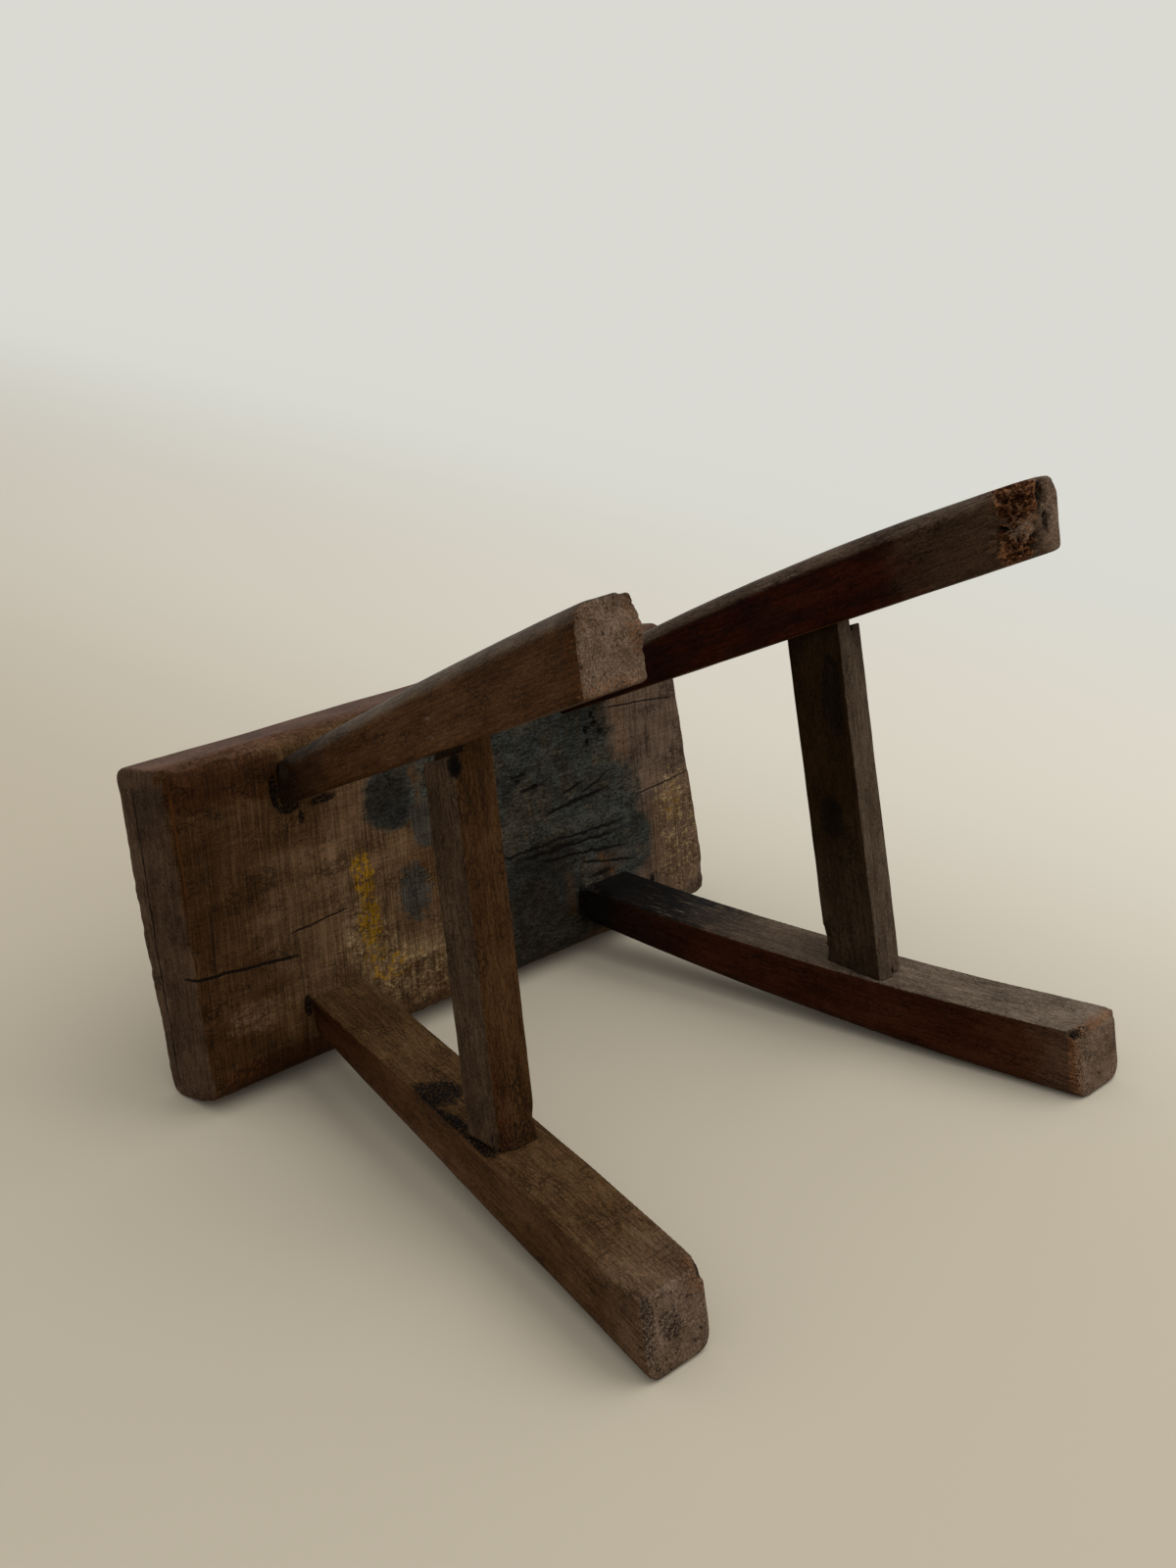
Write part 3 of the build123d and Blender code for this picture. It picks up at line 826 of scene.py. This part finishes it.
def seat_hardwood(colours):
    """Plank of dense old hardwood: pit-sawn underneath, and handled to a satin elsewhere.

    Its underside is matt, with fine saw lines across the grain, tar, lichen and lime. Its edges have a soft
    gloss.
    """
    material, tree, place, normal = new_material("seat_old_hardwood")
    turned = add_node(
        tree, "ShaderNodeMapping", {"Vector": place, "Rotation": ACROSS_GRAIN}
    ).outputs["Vector"]
    streaks = [(place, *streak) for streak in SEAT_STREAKS]
    streaks += [(turned, *streak) for streak in SEAT_CROSS_STREAKS]
    grain = Grain(tree, place, streaks)
    colour, roughness = weathered(grain, normal, colours, "handled", SEAT_ZONES)
    under = faded(tree, normal, DOWN, *FACING)
    calm = paint_over(tree, SMOOTH, grain.relief, 0.35)
    relief = paint_over(tree, calm, grain.relief, under)

    # Deeper saw lines across the grain, in bands where the plank was proud
    patchy = fibres(tree, place, *SEAT_SAWN_PARTS)
    for marks in SEAT_SAW_MARKS:
        lines = fibres(tree, turned, *marks)
        colour = paint_over(tree, colour, colours.char, lines, patchy, under, 0.45)
        relief = paint_over(tree, relief, GROOVE, lines, patchy, under)

    # Tar: an olive and grey skin over the wood, thinner and browner in streaks, wrinkled along the grain
    skin = Grain(tree, place, [(place, *streak) for streak in TAR_STREAKS])
    tarred = patches(tree, place, TAR_SPOTS, 0.5, grain.noise(COARSE))
    bare = patches(tree, place, BARE_SPOTS, 0.9, grain.noise(FINE))
    covered = add_node(
        tree, "ShaderNodeMath", {0: bare, 1: -0.25, 2: tarred}, operation="MULTIPLY_ADD", use_clamp=True
    ).outputs["Value"]
    tar = skin.toned(colours.tar, colours.dust, dirt=1.0)
    layers = (
        (colours.grey_tar, fibres(tree, place, *GREY_TAR_PARTS), 1.0),
        (colours.sawn, fibres(tree, turned, *THIN_TAR_STREAKS), 0.3),
        (colours.char, patches(tree, place, LOW_TAR_SPOTS, 0.6, grain.noise(COARSE)), 0.6),
    )
    for tone, mask, share in layers:
        tar = paint_over(tree, tar, skin.toned(tone, colours.dust), mask, share)
    wrinkles = fibres(tree, place, *TAR_WRINKLES)
    pits = fibres(tree, place, *TAR_PITS)
    tar = paint_over(tree, tar, linear("#0b0a09"), wrinkles, 0.6)
    tar = paint_over(tree, tar, linear("#080807"), pits, 0.9)
    smoked = patches(tree, place, SMOKED_SPOTS, 1.2, grain.noise(FINE))
    smoke = grain.toned(colours.grey_tar, colours.dust)
    colour = paint_over(tree, colour, smoke, smoked, under, 0.75)
    colour = paint_over(tree, colour, tar, covered, under, 0.95)
    relief = paint_over(tree, relief, skin.relief, covered, under)
    relief = paint_over(tree, relief, WRINKLE, wrinkles, covered, under)
    relief = paint_over(tree, relief, FLOOR, pits, covered, under)

    # Checks in the wood, painted near black for the grime and the shade in them, black folds in the tar, and
    # stained arrises
    for lines, grit in ((TAR_FOLDS, COARSE), (SEAT_LINES, WIDE)):
        for across, offset, width, wander, spot, shade in lines:
            line = crack_line(tree, place, grain.noise(grit), across, offset, width, wander)
            near = patches(tree, place, (spot,), 0.4, grain.noise(FINE))
            ink = colours.orange if shade == "orange" else BLACK_GRIME_AND_SHADE
            colour = paint_over(tree, colour, ink, line, near, DENT_BLACK)
            relief = paint_over(tree, relief, FLOOR, line, near)

    colour = worn_grimy_and_shaded(tree, place, colour, colours, 0.3)
    finish_wood(tree, colour, roughness, relief, SEAT_RELIEF)
    return material


def in_reach(point, middle, reach):
    """How deep a point lies in an ellipsoid given in millimetres: 1 in its middle, 0 from its rim out."""
    offset = [(point[i] - middle[i] * MM) / (reach[i] * MM) for i in range(3)]
    return max(0.0, 1 - sum(d * d for d in offset))


def even_skin(node, name, cell):
    """A copy of a CAD node, skinned again with small even faces."""
    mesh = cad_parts[node].data.copy()
    mesh.materials.clear()
    merged = bmesh.new()
    merged.from_mesh(mesh)
    bmesh.ops.remove_doubles(merged, verts=merged.verts, dist=0.001 * MM)
    merged.to_mesh(mesh)
    merged.free()
    piece = bpy.data.objects.new(name, mesh)
    bpy.context.scene.collection.objects.link(piece)
    skin = piece.modifiers.new("even_skin", "REMESH")
    skin.mode = "VOXEL"
    skin.voxel_size = cell
    shaped = piece.evaluated_get(bpy.context.evaluated_depsgraph_get())
    piece.data = bpy.data.meshes.new_from_object(shaped)
    piece.modifiers.clear()
    piece.data.name = name
    return piece


def smooth(body, verts, passes):
    """Smooths some of a body's vertices, over and over."""
    axes = {"use_axis_x": True, "use_axis_y": True, "use_axis_z": True}
    for _ in range(passes):
        bmesh.ops.smooth_vert(body, verts=verts, factor=0.5, **axes)


# The noises that shape the wear, in waves to a metre, how they are drawn out along the grain, and the seed of
# the one that bends the worm holes, which starts from the clock without it
CHIPS = 90
HOLLOWS = 38
RIPPLES = 150
ROUGH_DENTS = 260
SHAKES = 300
WIDE_HOLES = 190
NARROW_HOLES = 340
ALONG_GRAIN = (0.3, 1.0, 1.0)
HOLE_SEED = 1
RIPPLE_SHARE = 0.35
RUB_PASSES = 7
LEAST_RUB = 0.2
MOST_RUB = 1.6


def wear_down(piece, seed, shape, dents, grain_along, ends=(), more=None):
    """Rounds a piece's ends, rubs its arrises, hollows it a little along its grain and knocks its dents in.

    It notes on each vertex how sharp the arris was there, and how deep and black it is dug; the black is
    grime and painted shade in its dents and holes.
    """
    body = bmesh.new()
    body.from_mesh(piece.data)
    for direction, start, passes in ends:
        towards = Vector(direction)
        smooth(body, [v for v in body.verts if v.co.dot(towards) > start * MM], passes)
    body.normal_update()
    firm = [(v.co.copy(), v.normal.copy()) for v in body.verts]
    smooth(body, body.verts, RUB_PASSES)
    arris = body.verts.layers.float.new("arris")
    dug = body.verts.layers.float.new("dug")
    shift = Vector((seed, 0, 0))
    turn = grain_along.rotation_difference(Vector(RIGHT)).to_matrix()
    stretch = Matrix.Diagonal(ALONG_GRAIN)
    for v, (place, normal) in zip(body.verts, firm):
        along = stretch @ (turn @ place)
        chips = noise.noise(along * CHIPS + shift)
        v[arris] = (place - v.co).dot(normal) / MM
        co = place.lerp(v.co, shape.rub * min(MOST_RUB, max(LEAST_RUB, 0.9 + 1.6 * chips)))
        depth = shape.hollow * (0.1 + 0.5 * noise.noise(along * HOLLOWS + shift))
        depth += RIPPLE_SHARE * shape.hollow * (0.1 + 0.5 * noise.noise(along * RIPPLES + shift))
        grime_and_shade = 0.0
        for middle, reach, dent, black in dents:
            inside = in_reach(place, middle, reach)
            if inside > 0:
                depth += dent * MM * inside * (0.7 + 0.6 * noise.noise(place * ROUGH_DENTS + shift))
                grime_and_shade += black * inside
        if more:
            eaten, blackened = more(place, normal)
            depth += eaten
            grime_and_shade += blackened
        v[dug] = grime_and_shade
        co -= normal * depth
        v.co = [min(max(co[i], WHOLE_LOW[i]), WHOLE_HIGH[i]) for i in range(3)]
    body.to_mesh(piece.data)
    body.free()
    piece.data.shade_smooth()
    return piece


def worm_holes(place, normal):
    """Depth and blackness of the worm-eaten cavities in the back left foot. The blackness is painted shade,
    darker in the deeper holes.
    """
    middle, reach, depth = WORM_HOLES
    inside = in_reach(place, middle, reach)
    if inside <= 0:
        return 0.0, 0.0
    along = Matrix.Diagonal((1.0, 1.0, 0.55)) @ place
    shaken = along + noise.noise_vector(place * SHAKES) * MM
    wide = noise.voronoi(shaken * WIDE_HOLES)[0][0]
    narrow = noise.voronoi(shaken * NARROW_HOLES)[0][0]
    holes = min(1.0, max(0.0, 2.1 - 3.9 * wide)) + 0.45 * max(0.0, 1 - 1.7 * narrow)
    eaten = min(1.0, 2.4 * inside) * holes
    return depth * MM * eaten, 0.9 * max(0.0, eaten - 0.35)


def edge_swelling(place, normal):
    """Outward swelling, as a negative depth, of the seat's back edge, which isn't black."""
    middle, reach, height = EDGE_SWELLING
    if normal.y < 0.3:
        return 0.0, 0.0
    return -height * MM * in_reach(place, middle, reach), 0.0


def place_piece(piece, node, material):
    """Puts a finished piece in the place of its CAD node."""
    piece.data.materials.append(material)
    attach(piece, "root")
    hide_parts(node)


def leg_direction(node):
    """Unit vector from the middle of a leg's foot to the middle of its top."""
    points = [v.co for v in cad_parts[node].data.vertices]
    low = [p for p in points if p.z < 10 * MM]
    high = [p for p in points if p.z > SEAT_TOP - 10 * MM]
    foot = sum(low, Vector()) / len(low)
    top = sum(high, Vector()) / len(high)
    return (top - foot).normalized()


class STOOL_OT_seat(bpy.types.Operator):
    """Makes the worn plank"""

    bl_idname = "stool.seat"
    bl_label = "Seat"

    def execute(self, context):
        shape = context.scene.stool_shape
        piece = even_skin("seat", "seat_worn", shape.seat_cell)
        wear_down(piece, 3.0, shape, SEAT_DENTS, Vector(RIGHT), SEAT_ENDS, edge_swelling)
        place_piece(piece, "seat", seat_hardwood(context.scene.stool_colours))
        return {"FINISHED"}


class STOOL_OT_legs(bpy.types.Operator):
    """Makes the worn legs"""

    bl_idname = "stool.legs"
    bl_label = "Legs"

    def execute(self, context):
        shape = context.scene.stool_shape
        noise.seed_set(HOLE_SEED)
        for number, leg in enumerate(LEGS):
            node = f"leg_{leg}"
            along = leg_direction(node)
            piece = even_skin(node, f"{node}_worn", shape.leg_cell)
            eaten = leg == "back_left"
            wear_down(piece, 11.0 + 7 * number, shape, LEG_DENTS[leg], along,
                      WORM_EATEN_FOOT if eaten else FEET, worm_holes if eaten else None)
            base = "leg_brown" if leg.endswith("right") else "leg_red"
            colours = context.scene.stool_colours
            saw_amount = 0.5 if leg == "front_right" else 0.15
            material = old_hardwood(f"{node}_old_hardwood", colours, along, base, LEG_ZONES[leg], saw_amount)
            place_piece(piece, node, material)
        return {"FINISHED"}


class STOOL_OT_stretchers(bpy.types.Operator):
    """Makes the worn stretchers"""

    bl_idname = "stool.stretchers"
    bl_label = "Stretchers"

    def execute(self, context):
        shape = context.scene.stool_shape
        colours = context.scene.stool_colours
        across = Vector(BACK)
        for number, end in enumerate(STRETCHERS):
            node = f"stretcher_{end}"
            piece = even_skin(node, f"{node}_worn", shape.stretcher_cell)
            wear_down(piece, 51.0 + 7 * number, shape, STRETCHER_DENTS[end], across)
            base = "rail" if end == "right" else "rail_dark"
            material = old_hardwood(f"{node}_old_hardwood", colours, across, base, STRETCHER_ZONES[end])
            place_piece(piece, node, material)
        return {"FINISHED"}


class STOOL_OT_wedges(bpy.types.Operator):
    """Finishes the wedges in the legs' tenons"""

    bl_idname = "stool.wedges"
    bl_label = "Wedges"

    def execute(self, context):
        colours = context.scene.stool_colours
        material = old_hardwood("wedge_old_hardwood", colours, Vector(UP), "leg_inner", WEDGE_ZONES)
        for leg in LEGS:
            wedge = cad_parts[f"wedge_{leg}"]
            wedge.data.materials.clear()
            wedge.data.materials.append(material)
        return {"FINISHED"}


# The photograph's camera, in metres, and its focal length in pixels of the 1200 by 1600 frame
CAMERA_PLACE = Vector((0.95499, 0.33205, -0.71004))
CAMERA_RIGHT = Vector((-0.669583, -0.127121, -0.731778))
CAMERA_UP = Vector((-0.241207, 0.969060, 0.052366))
CAMERA_FOCAL_PIXELS = 2264.3
PHOTO_HEIGHT_PIXELS = 1600
SENSOR_MM = 36.0

# The floors, in metres: half their side, how the photograph's floor pales askew of the view, from how far
# behind the near foot and over how long, between which shares of that it fades into the backdrop, where the
# level floor does, and how far apart its two layers lie. A ray that has gone through both of them has passed
# more clear faces than ONE_FLOOR.
FLOOR_HALF = 40.0
FLOOR_SLANT = 0.66
PALES_FROM = 0.2
PALES_OVER = 0.8
FAR_FADE = (0.7, 2)
STANDING_FADE = (0.4, 1.3)
FLOOR_GAP = 0.2 * MM
ONE_FLOOR = 1.5

# The soft lights: how far off they are and their sides, in metres, and where they stand from the stool
LIGHT_DISTANCE = 2.2
WINDOW_SIDE = 2.6
WINDOW_WAY = Vector((-0.475, 0.67, -0.424))
ABOVE_SIDE = 1.6
ABOVE_WAY = Vector((0.3, -0.5, 0.8))


def photo_floor_material(stage, towards, start, length):
    """Matt painted floor that lies under the stool's long edge. It pales from near the camera to far behind,
    as painted light falloff.

    It shows only from its front, and only below the standing floors or seen through both of them from
    underneath, so it is left out of the views of the stool standing up.
    """
    material, tree, place = new_material("photo_floor_paint")[:3]
    reach = add_node(tree, "ShaderNodeVectorMath", {0: place, 1: towards}, operation="DOT_PRODUCT")
    pale = add_node(
        tree,
        "ShaderNodeMapRange",
        {"Value": reach.outputs["Value"], "From Min": start, "From Max": start + length},
        interpolation_type="SMOOTHERSTEP",
    )
    # Painted light falloff: darker by the camera, paler further off
    colour = paint_over(tree, stage.floor_near_shaded, stage.floor_lit, pale.outputs["Result"])
    matt = add_node(tree, "ShaderNodeBsdfDiffuse", {"Color": colour})
    flat = add_node(tree, "ShaderNodeEmission", {"Color": (*stage.floor_far, 1.0), "Strength": 1.0})
    fade_from, fade_to = (start + share * length for share in FAR_FADE)
    far = add_node(
        tree,
        "ShaderNodeMapRange",
        {"Value": reach.outputs["Value"], "From Min": fade_from, "From Max": fade_to},
        interpolation_type="SMOOTHERSTEP",
    )
    path = add_node(tree, "ShaderNodeLightPath")
    lit = add_node(
        tree,
        "ShaderNodeMath",
        {0: far.outputs["Result"], 1: path.outputs["Is Camera Ray"]},
        operation="MULTIPLY",
    )
    surface = add_node(
        tree,
        "ShaderNodeMixShader",
        {0: lit.outputs["Value"], 1: matt.outputs["BSDF"], 2: flat.outputs["Emission"]},
    )
    apart = add_node(tree, "ShaderNodeSeparateXYZ", {"Vector": place})
    below = add_node(tree, "ShaderNodeMath", {0: apart.outputs["Z"], 1: 0.0}, operation="LESS_THAN")
    through = add_node(
        tree, "ShaderNodeMath", {0: path.outputs["Transparent Depth"], 1: ONE_FLOOR}, operation="GREATER_THAN"
    )
    shown = add_node(
        tree, "ShaderNodeMath", {0: below.outputs["Value"], 1: through.outputs["Value"]}, operation="MAXIMUM"
    )
    side = add_node(tree, "ShaderNodeNewGeometry").outputs["Backfacing"]
    front = add_node(tree, "ShaderNodeMath", {0: shown.outputs["Value"], 1: side}, operation="SUBTRACT")
    clear = add_node(tree, "ShaderNodeBsdfTransparent")
    output = add_node(
        tree,
        "ShaderNodeMixShader",
        {0: front.outputs["Value"], 1: clear.outputs["BSDF"], 2: surface.outputs["Shader"]},
    )
    add_node(tree, "ShaderNodeOutputMaterial", {"Surface": output.outputs["Shader"]})
    return material


def standing_floor_material(stage):
    """Matt painted floor under the feet, as pale as the backdrop far out, and clear from underneath."""
    material, tree, place = new_material("standing_floor_paint")[:3]
    matt = add_node(tree, "ShaderNodeBsdfDiffuse", {"Color": (*stage.floor_lit, 1.0)})
    flat = add_node(tree, "ShaderNodeEmission", {"Color": (*stage.floor_far, 1.0), "Strength": 1.0})
    out = add_node(tree, "ShaderNodeVectorMath", {0: place}, operation="LENGTH").outputs["Value"]
    surface = add_node(
        tree,
        "ShaderNodeMixShader",
        {0: eased(tree, out, *STANDING_FADE), 1: matt.outputs["BSDF"], 2: flat.outputs["Emission"]},
    )
    side = add_node(tree, "ShaderNodeNewGeometry").outputs["Backfacing"]
    clear = add_node(tree, "ShaderNodeBsdfTransparent")
    output = add_node(
        tree, "ShaderNodeMixShader", {0: side, 1: surface.outputs["Shader"], 2: clear.outputs["BSDF"]}
    )
    add_node(tree, "ShaderNodeOutputMaterial", {"Surface": output.outputs["Shader"]})
    return material


def floor_plane(name, origin, normal, material):
    """A large square floor through a point, with its front on the side of its normal."""
    shape = bmesh.new()
    turn = normal.to_track_quat("Z", "Y").to_matrix().to_4x4()
    bmesh.ops.create_grid(
        shape, x_segments=1, y_segments=1, size=FLOOR_HALF, matrix=Matrix.Translation(origin) @ turn
    )
    mesh = bpy.data.meshes.new(name)
    shape.to_mesh(mesh)
    shape.free()
    mesh.materials.append(material)
    floor = bpy.data.objects.new(name, mesh)
    bpy.context.scene.collection.objects.link(floor)
    return floor


def soft_light(name, place, aim, size, power):
    """A square soft light that looks at a point."""
    lamp = bpy.data.lights.new(name, "AREA")
    lamp.shape = "SQUARE"
    lamp.size = size
    lamp.energy = power
    light = bpy.data.objects.new(name, lamp)
    light.location = place
    light.rotation_euler = (aim - place).to_track_quat("-Z", "Y").to_euler()
    bpy.context.scene.collection.objects.link(light)


class STOOL_OT_stage(bpy.types.Operator):
    """Makes the floors, the lights and the camera"""

    bl_idname = "stool.stage"
    bl_label = "Stage"

    def execute(self, context):
        stage = context.scene.stool_stage
        scene = context.scene

        # The stool lies on its seat's front edge and on its two front feet
        feet = [v.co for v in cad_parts["leg_front_right"].data.vertices]
        edge = [v.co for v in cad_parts["seat"].data.vertices]
        foot = min(feet, key=lambda p: p.y)
        normal = Vector((0, 1, 0))
        for _ in range(6):
            rim = min(edge, key=lambda p: p.dot(normal))
            foot = min(feet, key=lambda p: p.dot(normal))
            lean = rim - foot
            normal = Vector((0, lean.z, -lean.y)).normalized()
        forward = CAMERA_UP.cross(CAMERA_RIGHT)
        away = (forward - normal * forward.dot(normal)).normalized()
        towards = (away + FLOOR_SLANT * away.cross(normal)).normalized()
        start = foot.dot(towards) + PALES_FROM
        floor_plane("photo_floor", foot, normal, photo_floor_material(stage, towards, start, PALES_OVER))

        # Two floors under the feet, so that a view from underneath passes through one more than any other
        standing_paint = standing_floor_material(stage)
        for name, depth in (("standing_floor", 0.0), ("standing_floor_below", FLOOR_GAP)):
            standing = floor_plane(name, Vector((0, 0, -depth)), Vector((0, 0, 1)), standing_paint)
            standing.visible_diffuse = False
            standing.visible_glossy = False
            standing.visible_shadow = False
            standing.visible_transmission = False

        middle = (WHOLE_LOW + WHOLE_HIGH) / 2
        for name, way, side in (("window", WINDOW_WAY, WINDOW_SIDE), ("above", ABOVE_WAY, ABOVE_SIDE)):
            place = middle + way.normalized() * LIGHT_DISTANCE
            soft_light(name, place, middle, side, stage.key_power)

        world = bpy.data.worlds.new("room")
        scene.world = world
        world.use_nodes = True
        tree = world.node_tree
        tree.nodes.clear()
        room = add_node(tree, "ShaderNodeBackground", {"Color": (1, 1, 1, 1), "Strength": stage.sky_light})
        seen = add_node(tree, "ShaderNodeBackground", {"Color": (*stage.floor_far, 1.0), "Strength": 1.0})
        path = add_node(tree, "ShaderNodeLightPath")
        either = add_node(
            tree, "ShaderNodeMixShader",
            {0: path.outputs["Is Camera Ray"], 1: room.outputs["Background"], 2: seen.outputs["Background"]},
        )
        add_node(tree, "ShaderNodeOutputWorld", {"Surface": either.outputs["Shader"]})

        camera = bpy.data.cameras.new("photo_camera")
        camera.sensor_fit = "VERTICAL"
        camera.sensor_width = SENSOR_MM
        camera.sensor_height = SENSOR_MM
        camera.lens = CAMERA_FOCAL_PIXELS / PHOTO_HEIGHT_PIXELS * SENSOR_MM
        viewer = bpy.data.objects.new("photo_camera", camera)
        axes = Matrix((CAMERA_RIGHT, CAMERA_UP, CAMERA_RIGHT.cross(CAMERA_UP))).transposed().to_4x4()
        viewer.matrix_world = Matrix.Translation(CAMERA_PLACE) @ axes
        scene.collection.objects.link(viewer)
        scene.camera = viewer
        scene.view_settings.view_transform = "Standard"
        return {"FINISHED"}


OPERATORS = (STOOL_OT_seat, STOOL_OT_legs, STOOL_OT_stretchers, STOOL_OT_wedges, STOOL_OT_stage)


class STOOL_PT_panel(bpy.types.Panel):
    """Lists the stool's settings and the steps that make it"""

    bl_idname = "STOOL_PT_panel"
    bl_label = "Worn bench stool"
    bl_space_type = "VIEW_3D"
    bl_region_type = "UI"
    bl_category = "Stool"

    def draw(self, context):
        for group in (context.scene.stool_shape, context.scene.stool_colours, context.scene.stool_stage):
            box = self.layout.box()
            for name in group.__annotations__:
                box.prop(group, name)
        for operator in OPERATORS:
            self.layout.operator(operator.bl_idname)


GROUPS = {"stool_shape": StoolShape, "stool_colours": StoolColours, "stool_stage": StoolStage}


def register():
    """Registers the settings, the steps and the panel."""
    for name, group in GROUPS.items():
        bpy.utils.register_class(group)
        setattr(bpy.types.Scene, name, bpy.props.PointerProperty(type=group))
    for one_class in (*OPERATORS, STOOL_PT_panel):
        bpy.utils.register_class(one_class)


def unregister():
    """Takes them away again."""
    for one_class in (STOOL_PT_panel, *reversed(OPERATORS)):
        bpy.utils.unregister_class(one_class)
    for name, group in GROUPS.items():
        delattr(bpy.types.Scene, name)
        bpy.utils.unregister_class(group)


def main():
    register()
    bpy.ops.stool.seat()
    bpy.ops.stool.legs()
    bpy.ops.stool.stretchers()
    bpy.ops.stool.wedges()
    bpy.ops.stool.stage()


if __name__ == "__main__":
    main()
